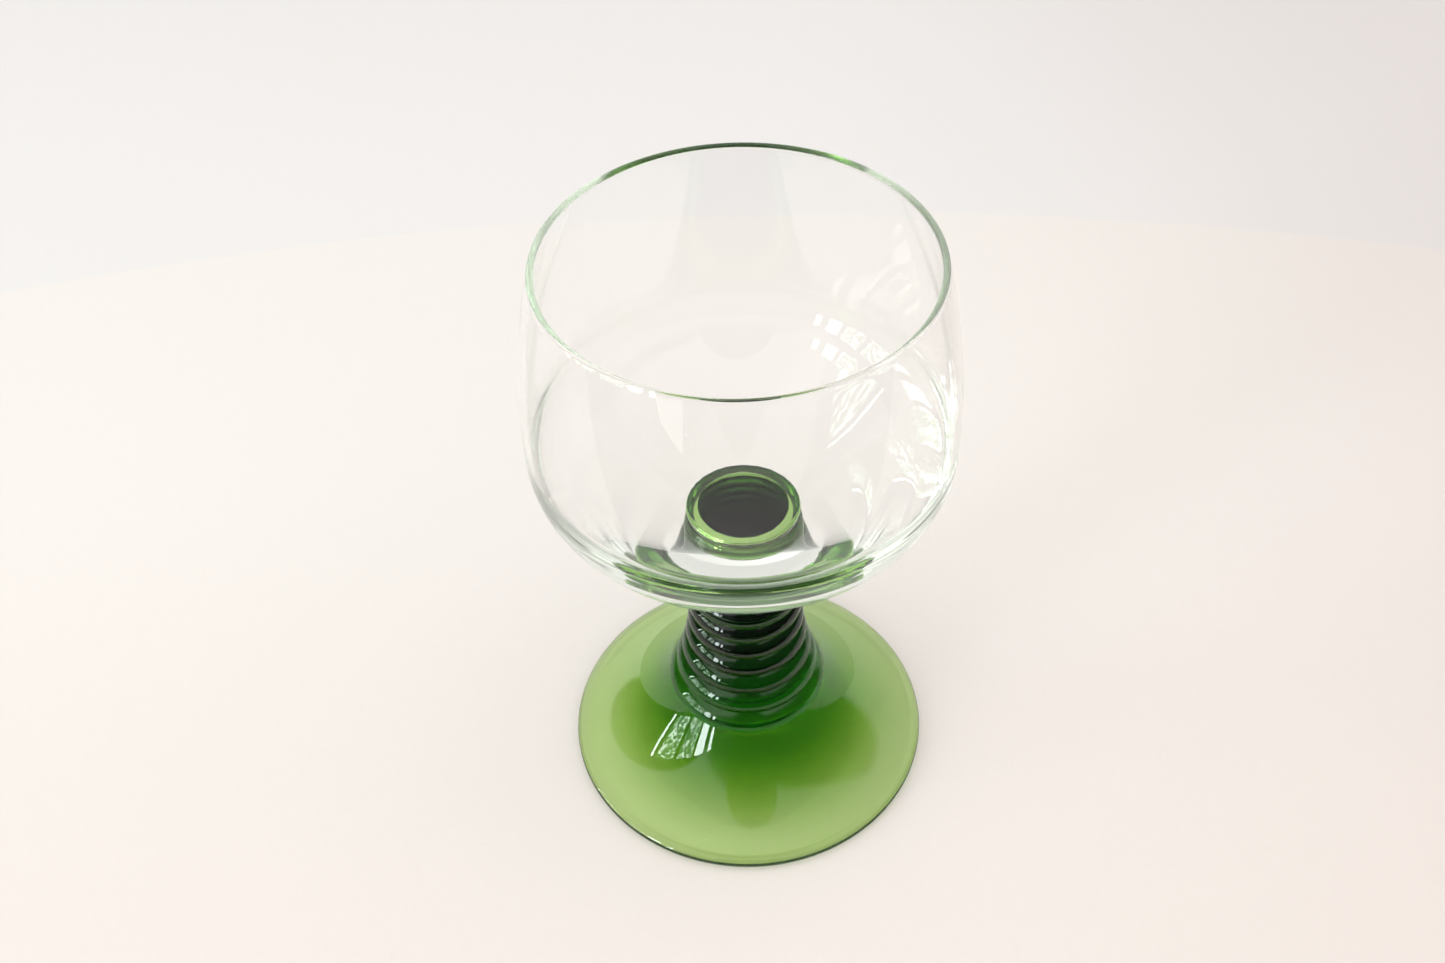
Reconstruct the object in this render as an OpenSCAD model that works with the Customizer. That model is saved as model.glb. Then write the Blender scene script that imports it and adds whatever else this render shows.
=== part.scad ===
// Roemer wine glass: a clear bowl fused over the head of a solid green ribbed stem on a wide green foot.
// Millimetres. The foot stands on z = 0 and the Z axis is the axis of every piece.

/* [Whole glass] */
// Height from the table to the top of the rim
total_h = 125; // [118:1:135]

/* [Bowl] */
// Outer diameter of the rim
rim_d = 67.9; // [64:0.1:71]
// Outer diameter of the bowl at its widest
belly_d = 77.2; // [76:0.1:80]
// Height of the widest place
belly_h = 88; // [86:0.5:91]
// Depth of the ellipse that the lower side follows from the widest place
under_b = 23.2; // [22.4:0.1:25]
// Slope, in degrees, at which the round underside takes over from the ellipse
under_slope = 47.5; // [43:0.5:51]
// Radius of the round underside
under_r = 58; // [53:1:65]
// How far above the widest place the inside starts to close
inner_rise = 3; // [1:0.5:6]
// Fullness of the curve inside, where 2 is an ellipse
inner_full = 2.1; // [2:0.05:2.4]
// Thickness of the clear glass over the stem
bottom_t = 5.8; // [4.5:0.1:7]
// Wall thickness of the bowl
wall_t = 1.1; // [0.9:0.05:1.6]
// Thickness of the fire-polished bead along the rim
rim_bead_t = 1.25; // [1.1:0.05:1.7]

/* [Stem] */
// How far the head of the stem reaches into the clear glass
head_in = 3.95; // [3.2:0.05:4.5]
// Diameter of the head
head_d = 22.6; // [22.2:0.1:23.4]
// Rounding of the head's upper edge
head_round = 1; // [0.5:0.1:1.4]
// Height of the lowest rib's lower edge
stem_base_h = 17; // [15:0.5:20]
// Number of ribs
rib_count = 10; // [8:1:12]
// Diameter over the ribs where the stem is slimmest
waist_d = 22.8; // [22:0.1:23.4]
// Height from which the stem widens downwards
waist_h = 42; // [38:1:45]
// Diameter over the lowest rib
base_d = 32.2; // [30:0.1:34]
// How far each rib stands out of the grooves beside it
rib_depth = 1.2; // [0.9:0.05:1.4]

/* [Foot] */
// Diameter of the foot
foot_d = 74.4; // [70:0.1:78]
// Thickness of the foot at its rounded edge
edge_t = 2.4; // [2:0.1:3]
// Height of the hollow under the foot, at its centre
hollow_h = 5.5; // [3:0.1:7]
// Width of the ring that the foot stands on
rest_w = 1.6; // [1:0.1:3]

/* [Hidden] */
$fn = 96;

clear_glass = [0.86, 0.94, 0.86, 0.35];
green_glass = [0.22, 0.50, 0.12, 0.90];

// Outlines are lists of [radius, height]. Arcs take their angles in degrees from the outward radius.
function arc(centre, r, a0, a1, n) =
    [for (i = [0:n]) let (a = a0 + (a1 - a0) * i / n) centre + r * [cos(a), sin(a)]];
function ellipse_arc(centre, rx, ry, a0, a1, n) =
    [for (i = [0:n]) let (a = a0 + (a1 - a0) * i / n) centre + [rx * cos(a), ry * sin(a)]];

function reversed(v) = [for (i = [len(v) - 1:-1:0]) v[i]];
function tail(v) = [for (i = [1:len(v) - 1]) v[i]];

// Bowl. Its side is one large arc from the widest place to the rim, and below that an ellipse that
// runs into the round underside.
rim_r = rim_d / 2;
belly_r = belly_d / 2;
side_h = total_h - belly_h;
side_r = (pow(side_h, 2) + pow(belly_r - rim_r, 2)) / (2 * (belly_r - rim_r));
side_centre = [belly_r - side_r, belly_h];
bead_r = rim_bead_t / 2;
side_angle = asin((side_h - bead_r) / (side_r - bead_r));
under_t = atan2(tan(under_slope) * belly_r, under_b);
under_top = [belly_r * sin(under_t), belly_h - under_b * cos(under_t)];
under_centre = under_top + under_r * [-sin(under_slope), cos(under_slope)];

// The underside ends in the stem's topmost groove. The stem's head lies inside the clear glass.
neck_r = waist_d / 2 - rib_depth;
neck_angle = -acos((neck_r - under_centre[0]) / under_r);
neck_h = under_centre[1] + under_r * sin(neck_angle);
head_r = head_d / 2;
head_h = neck_h + head_in;
head_swell = (head_in - head_round) / 2;
head_outline = concat(
    [for (i = [0:8]) [neck_r + (head_r - neck_r) * sin(90 * i / 8), neck_h + head_swell * i / 8]],
    arc([head_r - head_round, head_h - head_round], head_round, 0, 90, 8),
    [[0, head_h]]);

inner_angle = asin(inner_rise / (side_r - wall_t));
inner_r = side_centre[0] + (side_r - wall_t) * cos(inner_angle);
inner_h = belly_h + inner_rise;
inner_depth = inner_h - head_h - bottom_t;

function bowl_outline() = concat(
    reversed(head_outline),
    tail(arc(under_centre, under_r, neck_angle, under_slope - 90, 24)),
    tail(ellipse_arc([0, belly_h], belly_r, under_b, under_t - 90, 0, 30)),
    tail(arc(side_centre, side_r, 0, side_angle, 24)),
    arc(side_centre, side_r - wall_t, side_angle, inner_angle, 22),
    [for (i = [1:48]) let (a = 90 * i / 48)
        [inner_r * pow(cos(a), 2 / inner_full), inner_h - inner_depth * pow(sin(a), 2 / inner_full)]]);

module rim_bead()
    translate(side_centre + (side_r - bead_r) * [cos(side_angle), sin(side_angle)])
        circle(bead_r);

module bowl()
    color(clear_glass)
        rotate_extrude() {
            polygon(bowl_outline());
            rim_bead();
        }

// Stem. Ribs are equal arcs between sharp grooves, laid along a slim column that flares to the foot.
// The head stands on the topmost groove.
rib_pitch = (neck_h - stem_base_h) / rib_count;
flare = (base_d - waist_d) / 2 / pow(waist_h - stem_base_h - rib_pitch / 2, 2);
function crest_r(h) = waist_d / 2 + flare * pow(max(waist_h - h, 0), 2);
function groove_r(h) = crest_r(h) - rib_depth;

// One rib between the grooves at heights h and h + rib_pitch, as points of a circle's arc
rib_r = (pow(rib_pitch / 2, 2) + pow(rib_depth, 2)) / (2 * rib_depth);
rib_angle = asin(rib_pitch / 2 / rib_r);
function rib(h) = [for (i = [0:11])
    let (a = rib_angle * (i / 6 - 1), t = (rib_r * sin(a) + rib_pitch / 2) / rib_pitch,
         bulge = rib_r * cos(a) - rib_r + rib_depth)
    [groove_r(h) * (1 - t) + groove_r(h + rib_pitch) * t + bulge, h + rib_pitch * t]];

function stem_outline() = concat(
    [[0, stem_base_h]],
    [for (k = [0:rib_count - 1]) each rib(stem_base_h + k * rib_pitch)],
    head_outline);

module stem()
    color(green_glass)
        rotate_extrude()
            polygon(stem_outline());

// Foot. Its top is one hollow arc that runs out of the lowest groove and flattens towards the edge,
// where a rounded bead stands a little proud of it.
foot_r = foot_d / 2;
edge_r = edge_t / 2;
neck_base_r = groove_r(stem_base_h);
top_start = [neck_base_r, stem_base_h];
edge_centre = [foot_r - edge_r, edge_r];
bead_from = 122;
top_end = edge_centre + edge_r * [cos(bead_from), sin(bead_from)];
steep_angle = 58;
chord = top_end - top_start;
chord_angle = -atan2(chord[1], chord[0]);
sweep = 2 * (steep_angle - chord_angle);
top_r = norm(chord) / 2 / sin(sweep / 2);
top_centre = top_start + top_r * [sin(steep_angle), cos(steep_angle)];
hollow_r = foot_r - edge_r - rest_w;
dome_r = (pow(hollow_r, 2) + pow(hollow_h, 2)) / (2 * hollow_h);
dome_angle = asin(hollow_r / dome_r);

function foot_outline() = concat(
    [[0, stem_base_h]],
    arc(top_centre, top_r, -90 - steep_angle, -90 - steep_angle + sweep, 32),
    tail(arc(edge_centre, edge_r, bead_from, -90, 14)),
    arc([0, hollow_h - dome_r], dome_r, 90 - dome_angle, 90, 24));

module foot()
    color(green_glass)
        rotate_extrude()
            polygon(foot_outline());

bowl();
stem();
foot();
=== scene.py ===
"""A small roemer wine glass on pale paper: clear bowl, solid green ribbed stem, wide green foot.

Metres, Z up. Each piece is a fine revolved mesh that stands for the CAD node of the same name.
"""

from math import acos, asin, atan2, cos, hypot, pi, radians, sin, sqrt, tan

import bpy
from mathutils import Matrix, Vector


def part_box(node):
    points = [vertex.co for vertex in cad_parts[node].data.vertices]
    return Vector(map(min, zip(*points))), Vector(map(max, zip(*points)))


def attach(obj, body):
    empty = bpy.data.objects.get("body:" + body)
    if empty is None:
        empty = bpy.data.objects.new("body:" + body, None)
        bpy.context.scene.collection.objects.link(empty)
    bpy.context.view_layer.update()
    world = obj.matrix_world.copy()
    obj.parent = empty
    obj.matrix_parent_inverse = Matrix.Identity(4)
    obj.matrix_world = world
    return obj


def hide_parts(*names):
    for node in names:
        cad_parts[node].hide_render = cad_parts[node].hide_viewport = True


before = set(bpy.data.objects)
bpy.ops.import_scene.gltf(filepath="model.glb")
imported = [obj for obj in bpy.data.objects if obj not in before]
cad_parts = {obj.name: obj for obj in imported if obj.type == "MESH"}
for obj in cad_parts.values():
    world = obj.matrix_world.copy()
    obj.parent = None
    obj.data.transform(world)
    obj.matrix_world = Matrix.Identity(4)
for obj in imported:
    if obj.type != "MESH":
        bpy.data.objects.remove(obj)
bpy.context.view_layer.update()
scene = bpy.context.scene

MM = 0.001

# Bowl. The ellipse below the widest place turns into the round underside at the slope SWITCH.
RIM_R = 33.95 * MM
BELLY_H = 88 * MM
UNDER_B = 23.2 * MM
SWITCH = radians(47.5)
UNDER_R = 58 * MM
INNER_FULL = 2.1
INNER_H = 91 * MM
BOTTOM_T = 5.8 * MM
WALL_T = 1.1 * MM
BEAD_R = 0.625 * MM

# Fused joint. The clear glass overlaps the outer part of the stem's head, outside these radii at its
# top and at the bowl's underside.
JOINT_R = 8.9 * MM
SOCKET_R = 10.1 * MM

# Stem
HEAD_R = 11.3 * MM
HEAD_ROUND = 1.0 * MM
RIBS = 10
RIB_DEPTH = 1.2 * MM
WAIST_R = 11.4 * MM
WAIST_H = 42 * MM
BASE_R = 16.1 * MM

# Foot. BEAD_FROM is where the edge's bead starts, as an angle from the outward radius.
EDGE_R = 1.2 * MM
BEAD_FROM = radians(122)
HOLLOW_H = 5.5 * MM
REST_W = 1.6 * MM
STEEP = radians(58)

# Meshes. Fused pieces overlap by LAP, so that no face of one lies in a face of the other.
SEGMENTS = 192
LAP = 0.02 * MM
SHARP = radians(35)

BOWL_LOW, BOWL_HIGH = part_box("bowl")
STEM_LOW, STEM_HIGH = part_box("stem")
TOTAL_H = BOWL_HIGH.z
BELLY_R = BOWL_HIGH.x
NECK_H = BOWL_LOW.z
HEAD_H = STEM_HIGH.z
STEM_BASE = STEM_LOW.z
FOOT_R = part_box("foot")[1].x


def arc(cx, cz, rx, rz, start, end, n):
    """Points of an ellipse's arc about (cx, cz), from angle start to end in radians."""
    angles = [start + (end - start) * i / n for i in range(n + 1)]
    return [(cx + rx * cos(a), cz + rz * sin(a)) for a in angles]


# Outlines are lists of (radius, height).
def bowl_outline():
    """The joint's top, then the clear glass from the joint outwards and up, over the rim, and down inside."""
    t = atan2(tan(SWITCH) * BELLY_R, UNDER_B)
    cx = BELLY_R * sin(t) - UNDER_R * sin(SWITCH)
    cz = BELLY_H - UNDER_B * cos(t) + UNDER_R * cos(SWITCH)
    underside = arc(cx, cz, UNDER_R, UNDER_R, -acos((SOCKET_R - cx) / UNDER_R), SWITCH - pi / 2, 40)
    lower_side = arc(0, BELLY_H, BELLY_R, UNDER_B, t - pi / 2, 0, 60)

    side_h = TOTAL_H - BELLY_H
    side_r = (side_h ** 2 + (BELLY_R - RIM_R) ** 2) / (2 * (BELLY_R - RIM_R))
    side_cx = BELLY_R - side_r
    side_angle = asin((side_h - BEAD_R) / (side_r - BEAD_R))
    side = arc(side_cx, BELLY_H, side_r, side_r, 0, side_angle, 60)

    bead_x = side_cx + (side_r - BEAD_R) * cos(side_angle)
    bead_z = BELLY_H + (side_r - BEAD_R) * sin(side_angle)
    bead = arc(bead_x, bead_z, BEAD_R, BEAD_R, side_angle, side_angle + radians(200), 20)

    inner_side = arc(side_cx, BELLY_H, side_r - WALL_T, side_r - WALL_T, side_angle, 0, 60)
    inner_side = [p for p in inner_side if INNER_H < p[1] < bead_z - BEAD_R * 0.6]
    inner_r = side_cx + sqrt((side_r - WALL_T) ** 2 - (INNER_H - BELLY_H) ** 2)
    depth = INNER_H - HEAD_H - BOTTOM_T
    inner_bottom = [(inner_r * cos(a) ** (2 / INNER_FULL), INNER_H - depth * sin(a) ** (2 / INNER_FULL))
                    for a in [pi / 2 * i / 120 for i in range(120)]]
    outside = underside + lower_side[1:] + side[1:-1]
    inside = inner_side + inner_bottom + [(0, HEAD_H + BOTTOM_T)]
    joint = [(0, HEAD_H - LAP), (JOINT_R, HEAD_H - LAP)]
    return joint, outside + bead + inside


rib_pitch = (NECK_H - STEM_BASE) / RIBS
rib_r = ((rib_pitch / 2) ** 2 + RIB_DEPTH ** 2) / (2 * RIB_DEPTH)
rib_angle = asin(rib_pitch / 2 / rib_r)
flare = (BASE_R - WAIST_R) / (WAIST_H - STEM_BASE - rib_pitch / 2) ** 2


def groove(h):
    """Radius in the grooves at height h. The stem is slim above WAIST_H and flares below it."""
    return WAIST_R + flare * max(WAIST_H - h, 0) ** 2 - RIB_DEPTH


def rib(h, n=16):
    """One rib between the grooves at h and h + rib_pitch, without the upper groove's point."""
    points = []
    for i in range(n):
        a = rib_angle * (2 * i / n - 1)
        t = (rib_r * sin(a) + rib_pitch / 2) / rib_pitch
        bulge = rib_r * cos(a) - rib_r + RIB_DEPTH
        points.append((groove(h) * (1 - t) + groove(h + rib_pitch) * t + bulge, h + rib_pitch * t))
    return points


def stem_outline():
    """The lower joint, the ribs with the head that lies inside the clear glass, and the head's fused top."""
    ribs = [p for k in range(RIBS) for p in rib(STEM_BASE + k * rib_pitch)]
    neck_r = groove(NECK_H)
    swell = (HEAD_H - HEAD_ROUND - NECK_H) / 2
    head = [(neck_r + (HEAD_R - neck_r) * sin(pi / 16 * i), NECK_H + swell * i / 8) for i in range(9)]
    head += arc(HEAD_R - HEAD_ROUND, HEAD_H - HEAD_ROUND, HEAD_ROUND, HEAD_ROUND, 0, pi / 2, 12)
    low = STEM_BASE - LAP
    return [(0, low), (ribs[0][0], low)], ribs + head, [(JOINT_R, HEAD_H), (0, HEAD_H)]


def foot_outline():
    """The hollow below, the ring it stands on, the edge and the curved top, and then the joint."""
    start = (groove(STEM_BASE), STEM_BASE)
    end = (FOOT_R - EDGE_R + EDGE_R * cos(BEAD_FROM), EDGE_R + EDGE_R * sin(BEAD_FROM))
    run, fall = end[0] - start[0], start[1] - end[1]
    sweep = 2 * (STEEP - atan2(fall, run))
    r = hypot(run, fall) / 2 / sin(sweep / 2)
    cx, cz = start[0] + r * sin(STEEP), start[1] + r * cos(STEEP)
    top = arc(cx, cz, r, r, -pi / 2 - STEEP, -pi / 2 - STEEP + sweep, 70)
    edge = arc(FOOT_R - EDGE_R, EDGE_R, EDGE_R, EDGE_R, BEAD_FROM, -pi / 2, 24)
    hollow_r = FOOT_R - EDGE_R - REST_W
    dome_r = (hollow_r ** 2 + HOLLOW_H ** 2) / (2 * HOLLOW_H)
    dome_angle = asin(hollow_r / dome_r)
    dome = arc(0, HOLLOW_H - dome_r, dome_r, dome_r, pi / 2 - dome_angle, pi / 2, 50)
    outer = top + edge[1:] + dome[:-1] + [(0, HOLLOW_H)]
    return outer[:0:-1], [start, (0, STEM_BASE)]


def revolve(name, *runs, fused=(), shine=1.0):
    """A closed mesh from runs of outline points, from the axis anticlockwise back to it. fused lists the
    runs that lie in a fused joint. The attribute open_surface is 0 there and shine elsewhere."""
    outline = [p for run in runs for p in run]
    inside = [i in fused for i, run in enumerate(runs) for p in run]
    ring = outline[1:-1]
    verts = [(0, 0, outline[0][1])]
    for r, z in ring:
        turns = [2 * pi * k / SEGMENTS for k in range(SEGMENTS)]
        verts += [(r * cos(a), r * sin(a), z) for a in turns]
    verts.append((0, 0, outline[-1][1]))
    first, last = 0, len(verts) - 1
    faces, flags = [], []
    for k in range(SEGMENTS):
        j = (k + 1) % SEGMENTS
        faces.append((first, 1 + j, 1 + k))
        flags.append(inside[0] and inside[1])
        for i in range(len(ring) - 1):
            a, b = 1 + i * SEGMENTS, 1 + (i + 1) * SEGMENTS
            faces.append((a + k, a + j, b + j, b + k))
            flags.append(inside[i + 1] and inside[i + 2])
        top = 1 + (len(ring) - 1) * SEGMENTS
        faces.append((top + k, top + j, last))
        flags.append(inside[-2] and inside[-1])
    mesh = bpy.data.meshes.new(name)
    mesh.from_pydata(verts, [], faces)
    open_surface = mesh.attributes.new("open_surface", "FLOAT", "FACE")
    open_surface.data.foreach_set("value", [0.0 if f else shine for f in flags])
    mesh.shade_smooth()
    mesh.set_sharp_from_angle(angle=SHARP)
    piece = bpy.data.objects.new(name, mesh)
    scene.collection.objects.link(piece)
    return piece


class Nodes:
    """The nodes of one material or world, with short calls for the kinds used here."""

    def __init__(self, owner):
        owner.use_nodes = True
        self.tree = owner.node_tree

    def __getitem__(self, name):
        return self.tree.nodes[name]

    def add(self, kind, inputs=None, **settings):
        """A new node. inputs holds the value of each socket, or the socket that feeds it."""
        new = self.tree.nodes.new("ShaderNode" + kind)
        for key, value in settings.items():
            setattr(new, key, value)
        for key, value in (inputs or {}).items():
            if isinstance(value, bpy.types.NodeSocket):
                self.tree.links.new(value, new.inputs[key])
            else:
                new.inputs[key].default_value = value
        return new

    def place(self):
        return self.add("TexCoord").outputs["Object"]

    def noise(self, where, scale, detail):
        return self.add("TexNoise", {"Vector": where, "Scale": scale, "Detail": detail}).outputs["Fac"]

    def bump(self, height, distance, normal=None):
        inputs = {"Height": height, "Distance": distance}
        if normal:
            inputs["Normal"] = normal
        return self.add("Bump", inputs).outputs["Normal"]

    def ramp(self, value, low, high, out_low=0.0, out_high=1.0, curve="SMOOTHSTEP"):
        """out_low up to value low, out_high from value high on, and a curve between."""
        inputs = {"Value": value, "From Min": low, "From Max": high, "To Min": out_low, "To Max": out_high}
        return self.add("MapRange", inputs, interpolation_type=curve).outputs[0]

    def maths(self, operation, a, b=0.0):
        return self.add("Math", {0: a, 1: b}, operation=operation).outputs[0]

    def mix(self, factor, a, b):
        return self.add("Mix", {0: factor, 2: a, 3: b}).outputs[0]

    def tint(self, colour, factor, by):
        """colour, multiplied with by where factor is 1 and left alone where factor is 0."""
        change = self.add("Mix", {0: factor, 6: (1, 1, 1, 1), 7: (*by, 1)}, data_type="RGBA").outputs[2]
        product = self.add("Mix", {0: 1.0, 6: colour, 7: change}, data_type="RGBA", blend_type="MULTIPLY")
        return product.outputs[2]


def glass(name, absorb, waves, lines, dull):
    """Glass that takes absorb, per metre for red, green and blue, out of the light inside it. Its surface has
    slow waves and fine lines along the turning direction, each with a scale and a height, and patches whose
    roughness goes up to dull."""
    mat = bpy.data.materials.new(name)
    nodes = Nodes(mat)
    bsdf = nodes["Principled BSDF"]
    bsdf.inputs["Base Color"].default_value = (1, 1, 1, 1)
    bsdf.inputs["Transmission Weight"].default_value = 1
    bsdf.inputs["IOR"].default_value = 1.52
    link = nodes.tree.links.new
    open_surface = nodes.add("Attribute", attribute_name="open_surface").outputs["Fac"]
    link(open_surface, bsdf.inputs["Specular Tint"])

    density = max(absorb)
    kept = tuple(1 - a / density for a in absorb)
    volume = nodes.add("VolumeAbsorption", {"Color": (*kept, 1), "Density": density}).outputs["Volume"]
    link(volume, nodes["Material Output"].inputs["Volume"])

    where = nodes.place()
    wave_scale, wave_height = waves
    line_scale, line_height = lines
    along, across = line_scale / 30, line_scale
    stretched = nodes.add("Mapping", {"Vector": where, "Scale": (along, along, across)}).outputs["Vector"]
    normal = nodes.bump(nodes.noise(where, wave_scale, 1), wave_height)
    normal = nodes.bump(nodes.noise(stretched, 1, 2), line_height, normal)
    link(normal, bsdf.inputs["Normal"])
    link(nodes.ramp(nodes.noise(where, 140, 4), 0.5, 0.75, 0, dull, "LINEAR"), bsdf.inputs["Roughness"])
    return mat


clear = glass("clear_glass", absorb=(1.5, 0.8, 1.9),
              waves=(70, 0.03 * MM), lines=(900, 0.002 * MM), dull=0.02)
green = glass("green_glass", absorb=(112, 40, 250),
              waves=(60, 0.03 * MM), lines=(700, 0.001 * MM), dull=0.04)
# The stem is the same green glass as the foot but takes about twice its absorption: painted shade that darkens
# the stem
shaded_green = glass("shaded_green_glass", absorb=(250, 122, 430),
                   waves=(90, 0.012 * MM), lines=(1600, 0.003 * MM), dull=0.012)

bowl = revolve("bowl_glass", *bowl_outline(), fused=(0,), shine=0.6)
stem = revolve("stem_glass", *stem_outline(), fused=(0, 2), shine=0.8)
foot = revolve("foot_glass", *foot_outline(), fused=(1,))
for piece, node, mat, slot in ((bowl, "bowl", clear, "clear_glass"),
                               (stem, "stem", shaded_green, "green_glass_stem"),
                               (foot, "foot", green, "green_glass_foot")):
    piece.data.materials.append(mat)
    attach(piece, "root")
    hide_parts(node)


# Stage
def matt(name, colour):
    mat = bpy.data.materials.new(name)
    bsdf = Nodes(mat)["Principled BSDF"]
    bsdf.inputs["Base Color"].default_value = (*colour, 1)
    bsdf.inputs["Roughness"].default_value = 0.6
    bsdf.inputs["Specular IOR Level"].default_value = 0.1
    return mat


def emission(name, colour, strength):
    mat = bpy.data.materials.new(name)
    nodes = Nodes(mat)
    nodes.tree.nodes.remove(nodes["Principled BSDF"])
    light = nodes.add("Emission", {"Color": (*colour, 1), "Strength": strength}).outputs["Emission"]
    nodes.tree.links.new(light, nodes["Material Output"].inputs["Surface"])
    return mat


def quad(name, corners, mat, unseen_by=()):
    """A flat sheet of the stage. unseen_by lists the kinds of ray that pass through it."""
    mesh = bpy.data.meshes.new(name)
    mesh.from_pydata(corners, [], [(0, 1, 2, 3)])
    mesh.materials.append(mat)
    sheet = bpy.data.objects.new(name, mesh)
    scene.collection.objects.link(sheet)
    for ray in unseen_by:
        setattr(sheet, "visible_" + ray, False)


FLOOR_HALF = 3
FLOOR_Z = -0.05 * MM
PAPER = (0.65, 0.615, 0.59)
PAPER_END, PAPER_END_BOW = 0.189, 0.65


def paper():
    """Pale paper with a fine grain. It ends in a faint far edge, bowed towards the camera at the sides.
    Painted shade darkens and warms it towards the right and the front."""
    mat = matt("paper", PAPER)
    nodes = Nodes(mat)
    bsdf = nodes["Principled BSDF"]
    link = nodes.tree.links.new
    where = nodes.place()
    x, y, _ = nodes.add("SeparateXYZ", {"Vector": where}).outputs
    bow = nodes.maths("MULTIPLY", nodes.maths("MULTIPLY", x, x), PAPER_END_BOW)
    past_end = nodes.maths("SUBTRACT", nodes.maths("ADD", y, bow), PAPER_END)
    grain = nodes.noise(where, 900, 3)
    colour = nodes.tint((*PAPER, 1), nodes.ramp(past_end, -1.5 * MM, 1.5 * MM), (0.965, 0.985, 1.015))
    # Painted shade: the paper's colour is darkened and warmed towards the right and towards the front
    colour = nodes.tint(colour, nodes.ramp(x, 0, 0.24), (0.915, 0.885, 0.88))
    colour = nodes.tint(colour, nodes.ramp(y, 0.1, -0.08), (0.965, 0.935, 0.925))
    colour = nodes.tint(colour, grain, (0.97, 0.97, 0.965))
    link(colour, bsdf.inputs["Base Color"])
    link(nodes.bump(grain, 0.02 * MM), bsdf.inputs["Normal"])
    return mat


def upright(plane, across, low, high, axis):
    """Corners of an upright rectangle in the plane axis = plane, between the two places in across."""
    corners = [(across[0], low), (across[1], low), (across[1], high), (across[0], high)]
    return [(plane, a, z) if axis == "x" else (a, plane, z) for a, z in corners]


quad("floor", [(-FLOOR_HALF, -FLOOR_HALF, FLOOR_Z), (FLOOR_HALF, -FLOOR_HALF, FLOOR_Z),
               (FLOOR_HALF, FLOOR_HALF, FLOOR_Z), (-FLOOR_HALF, FLOOR_HALF, FLOOR_Z)], paper())
quad("wall", upright(0.5, (-2, 2), 0, 0.7, "y"), emission("wall", (0.9, 0.885, 0.875), 1.0),
     unseen_by=("glossy",))

# The window at the left, as panes of bright sky and of trees
WINDOW_X, WINDOW_LOW, WINDOW_HIGH = -1.6, 0.05, 0.96


def trees():
    """Sky seen through leaves."""
    mat = emission("trees", (0.8, 1.0, 0.75), 8)
    nodes = Nodes(mat)
    leaves = nodes.noise(nodes.place(), 14, 3)
    gaps = nodes.add("ValToRGB", {"Fac": leaves})
    leaf, sky_gap = gaps.color_ramp.elements
    leaf.position, leaf.color = 0.47, (0.12, 0.2, 0.1, 1)
    sky_gap.position, sky_gap.color = 0.62, (1.5, 1.7, 1.6, 1)
    nodes.tree.links.new(gaps.outputs["Color"], nodes["Emission"].inputs["Color"])
    return mat


sky_light = emission("sky", (0.9, 0.97, 1.0), 18)
tree_light = trees()
for k, (near, far, mat) in enumerate(((-0.02, 0.03, sky_light), (-0.49, -0.1, tree_light),
                                      (-1.0, -0.58, tree_light), (-1.44, -1.1, sky_light),
                                      (-1.84, -1.66, sky_light))):
    corners = upright(WINDOW_X, (near, far), WINDOW_LOW, WINDOW_HIGH, "x")
    quad(f"pane_{k}", corners, mat, unseen_by=("camera",))

# What the glass mirrors of the table in front of it: dark past the paper, with a sunlit patch
ONLY_MIRRORED = ("camera", "diffuse", "transmission", "shadow")
FRONT_END = -0.085
quad("beyond_paper", [(-FLOOR_HALF, -FLOOR_HALF, 0), (FLOOR_HALF, -FLOOR_HALF, 0),
                      (FLOOR_HALF, FRONT_END, 0), (-FLOOR_HALF, FRONT_END, 0)],
     matt("beyond_paper", (0.01, 0.01, 0.01)), unseen_by=ONLY_MIRRORED)
quad("sunlit_table", [(-0.127, -0.262, MM), (-0.56, -1.09, MM), (-0.76, -0.74, MM), (-0.217, -0.294, MM)],
     emission("sunlit", (1, 0.98, 0.92), 2.6), unseen_by=ONLY_MIRRORED)

# Brightness of the room: seen by the camera itself, seen through the glass, as light on the paper, and as
# the light that comes to the paper through the glass from the left and from the right. INSIDE_GLASS is how
# far the mirrored room takes over where light was turned back inside the glass.
TO_CAMERA = 0.9
THROUGH_GLASS = 0.95
ON_PAPER = 1.55
CAST_LEFT, CAST_RIGHT = 3.3, 1.4
DARKEST = 0.1
INSIDE_GLASS = 0.7
RIGHT_AZIMUTH = radians(24)


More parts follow.
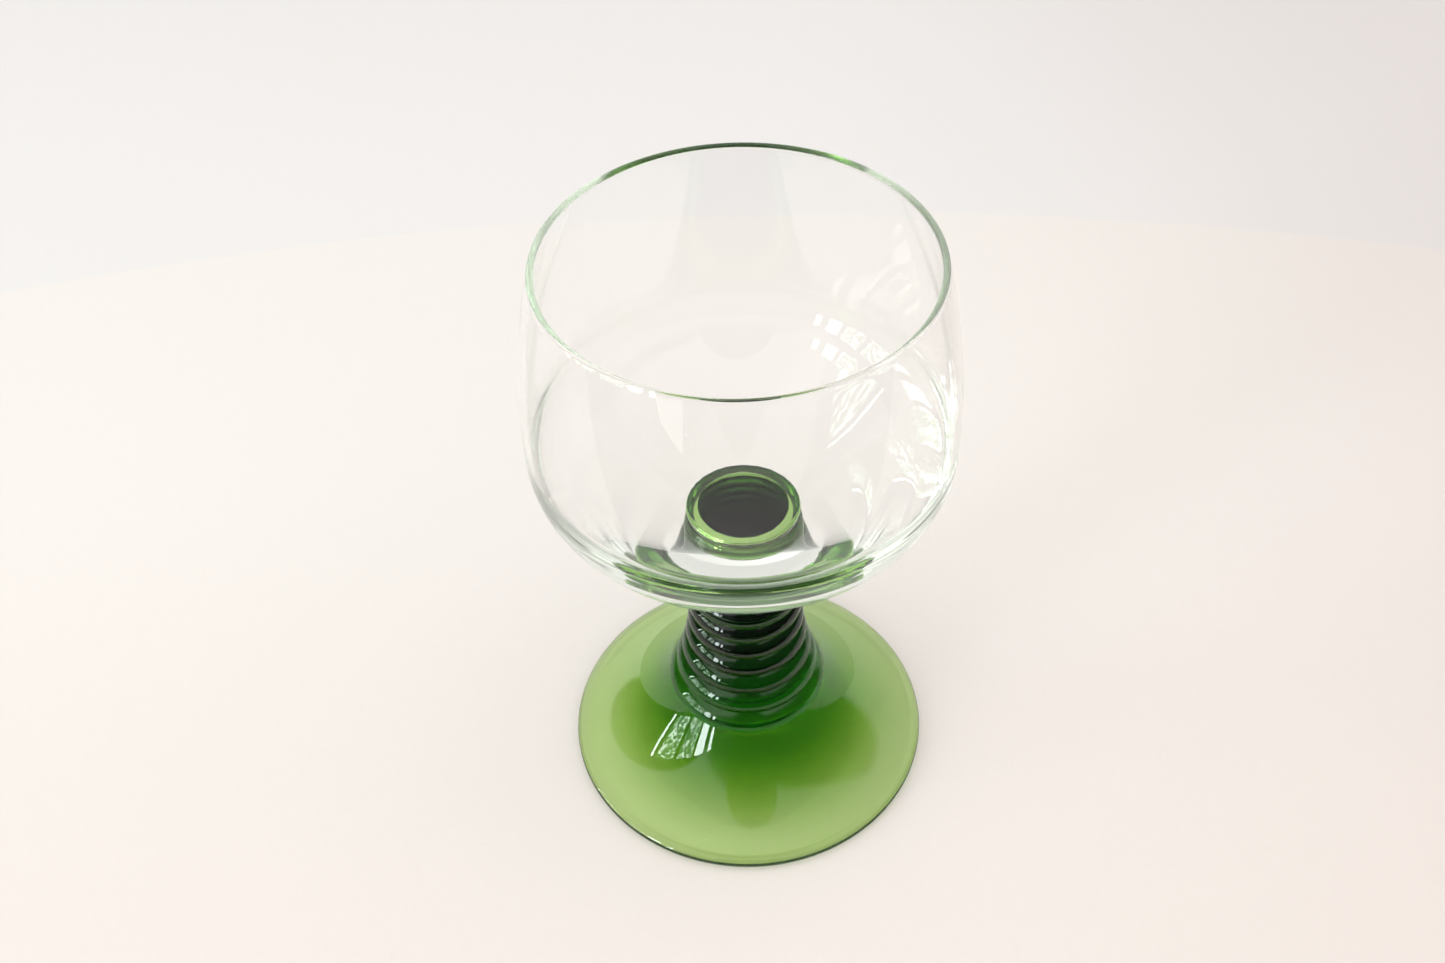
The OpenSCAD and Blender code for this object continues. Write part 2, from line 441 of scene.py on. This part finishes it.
def mirrored_room(nodes, x, y, z):
    """Brightness of the room by direction, as the glass mirrors it. It is dark below an edge that rises to
    the left and one that rises to the right, steeply down in front, and over a round-topped shape in front."""
    maths, ramp = nodes.maths, nodes.ramp
    flat = maths("SQRT", maths("SUBTRACT", 1.0, maths("MULTIPLY", z, z)))
    flat_squared = maths("MULTIPLY", flat, flat)
    steepness = maths("DIVIDE", maths("MULTIPLY", z, maths("ABSOLUTE", z)), flat_squared)
    to_left = maths("DIVIDE", maths("MULTIPLY", x, -1.0), flat)
    right_x = maths("MULTIPLY", x, cos(RIGHT_AZIMUTH))
    right_y = maths("MULTIPLY", y, -sin(RIGHT_AZIMUTH))
    to_right = maths("DIVIDE", maths("ADD", right_x, right_y), flat)
    left_edge = maths("MULTIPLY", maths("SUBTRACT", to_left, 0.66), 1.88)
    right_edge = maths("MINIMUM", maths("MULTIPLY", maths("SUBTRACT", to_right, 0.616), 5.0), 1.07)
    above_left = ramp(maths("SUBTRACT", steepness, left_edge), -0.04, 0.06)
    above_right = ramp(maths("SUBTRACT", steepness, right_edge), -0.2, 0.35)
    in_front = maths("MULTIPLY", maths("SUBTRACT", maths("MULTIPLY", y, -1.0), 0.31), 0.24)
    shape = maths("SUBTRACT", in_front, maths("POWER", maths("SUBTRACT", x, 0.02), 2.0))

    room = maths("MULTIPLY", above_left, above_right)
    for shade in (ramp(z, 0.1, 0.6, 1.3, 1.2), ramp(x, -0.4, 0.4, 1.2, 0.9), ramp(y, -0.74, -0.6, 0.1, 1),
                  ramp(shape, -0.006, 0.012, 1, 0)):
        room = maths("MULTIPLY", room, shade)
    return maths("ADD", room, DARKEST)


def light_room():
    world = bpy.data.worlds.new("room")
    scene.world = world
    nodes = Nodes(world)
    direction = nodes.add("TexCoord").outputs["Generated"]
    x, y, z = nodes.add("SeparateXYZ", {"Vector": direction}).outputs
    room = mirrored_room(nodes, x, y, z)
    ray = nodes.add("LightPath").outputs
    through = ray["Is Transmission Ray"]
    from_camera = nodes.maths("MULTIPLY", through, nodes.maths("LESS_THAN", ray["Diffuse Depth"], 0.5))
    after_mirror = nodes.maths("GREATER_THAN", ray["Glossy Depth"], 0.5)
    turned_inside = nodes.maths("MULTIPLY", after_mirror, INSIDE_GLASS)
    level = nodes.mix(ray["Is Glossy Ray"], ON_PAPER, room)
    level = nodes.mix(through, level, nodes.ramp(x, -0.7, 0.7, CAST_LEFT, CAST_RIGHT))
    level = nodes.mix(from_camera, level, THROUGH_GLASS)
    level = nodes.mix(nodes.maths("MULTIPLY", from_camera, turned_inside), level, room)
    level = nodes.mix(ray["Is Camera Ray"], level, TO_CAMERA)
    background = nodes["Background"]
    background.inputs["Color"].default_value = (1.0, 0.99, 0.98, 1)
    nodes.tree.links.new(level, background.inputs["Strength"])


light_room()

# Camera. It stands in front of the glass and above, and aims past the axis at the height AIM_H.
DIST, ELEVATION, AIM_H = 0.27732, radians(45.43), 74.16 * MM
AIM_SIDE, ROLL = -0.013415, radians(-2.1175)
LENS, SENSOR = 37.447, 36


def add_camera():
    place = Vector((0, -DIST * cos(ELEVATION), AIM_H + DIST * sin(ELEVATION)))
    look = Vector((AIM_SIDE, cos(ELEVATION), -sin(ELEVATION))).normalized()
    level_side = look.cross(Vector((0, 0, 1))).normalized()
    level_up = level_side.cross(look)
    side = level_side * cos(ROLL) + level_up * sin(ROLL)
    up = level_up * cos(ROLL) - level_side * sin(ROLL)
    optics = bpy.data.cameras.new("camera")
    optics.lens = LENS
    optics.sensor_width = SENSOR
    optics.clip_start = 0.01
    camera = bpy.data.objects.new("camera", optics)
    scene.collection.objects.link(camera)
    camera.matrix_world = Matrix.Translation(place) @ Matrix((side, up, -look)).transposed().to_4x4()
    scene.camera = camera


add_camera()

scene.view_settings.view_transform = "Standard"
scene.cycles.use_denoising = True
scene.cycles.max_bounces = 96
scene.cycles.transmission_bounces = 96
scene.cycles.glossy_bounces = 96
scene.cycles.diffuse_bounces = 4
scene.cycles.caustics_reflective = True
scene.cycles.caustics_refractive = True
scene.cycles.blur_glossy = 0.5
